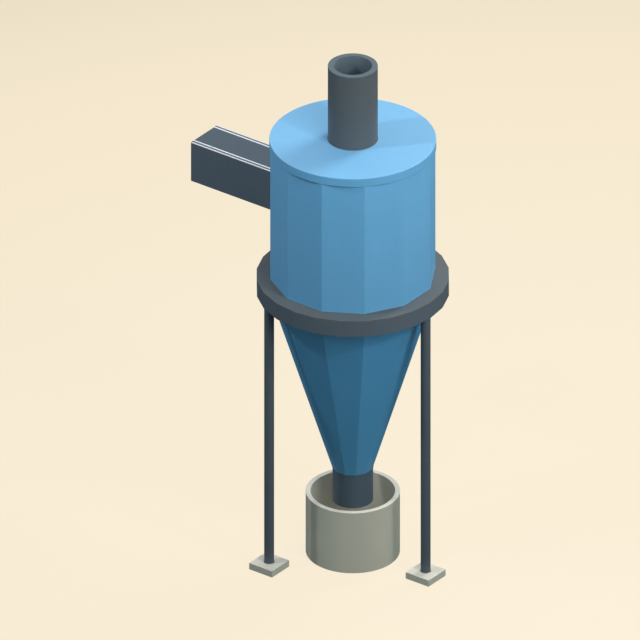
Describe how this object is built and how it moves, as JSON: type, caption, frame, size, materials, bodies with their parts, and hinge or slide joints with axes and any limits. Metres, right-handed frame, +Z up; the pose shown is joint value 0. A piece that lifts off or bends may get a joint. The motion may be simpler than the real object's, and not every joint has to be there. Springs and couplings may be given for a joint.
{
  "type": "cyclone dust separator",
  "caption": "Free-standing cyclone dust separator: flat-panelled barrel and cone, side inlet duct, top outlet pipe, support ring on tube posts, and a bin under the spout.",
  "frame": {"origin": "on the cyclone's axis, at floor level under the dust bin", "axes": "+Z up along the cyclone's axis to the outlet; the inlet duct runs to -X on the +Y side; one post stands at +X"},
  "size_m": [2.019, 1.162, 3.335],
  "materials": {
    "lid_paint": "semi-gloss pale blue paint",
    "barrel_paint": "semi-gloss blue paint",
    "cone_paint": "semi-gloss darker blue paint",
    "slate_paint": "satin slate-grey paint",
    "ring_paint": "satin mid-grey paint",
    "sealant": "pale skinned-over sealant",
    "gasket_rubber": "matt black",
    "zinc_steel": "bright zinc plate",
    "bin_grey": "satin grey-green moulded plastic"
  },
  "bodies": {
    "root": {"lid_pan": "lid_paint", "lid_base_ring": "lid_paint", "lid_webs": "lid_paint", "lid_gasket": "gasket_rubber", "lid_studs": "zinc_steel", "lid_nuts": "zinc_steel", "outlet_casing": "slate_paint", "outlet_end_ring": "slate_paint", "vortex_finder": "slate_paint", "finder_flange": "slate_paint", "barrel_shell": "barrel_paint", "barrel_top_ring": "barrel_paint", "barrel_flange": "ring_paint", "joint_gasket": "gasket_rubber", "cone_flange": "ring_paint", "cone_shell": "cone_paint", "dust_spout": "slate_paint", "joint_bolts": "zinc_steel", "joint_nuts": "zinc_steel", "ring_top_plate": "ring_paint", "ring_band": "ring_paint", "ring_shoes": "ring_paint", "ring_gussets": "ring_paint", "post_1": "slate_paint", "post_2": "slate_paint", "post_3": "slate_paint", "head_spigots": "zinc_steel", "foot_spigots": "zinc_steel", "foot_pad_1": "bin_grey", "foot_pad_2": "bin_grey", "foot_pad_3": "bin_grey", "duct_trough": "slate_paint", "duct_cover": "ring_paint", "duct_bar_near": "slate_paint", "duct_bar_far": "slate_paint", "duct_sealant": "sealant", "dust_bin": "bin_grey"}
  },
  "joints": []
}
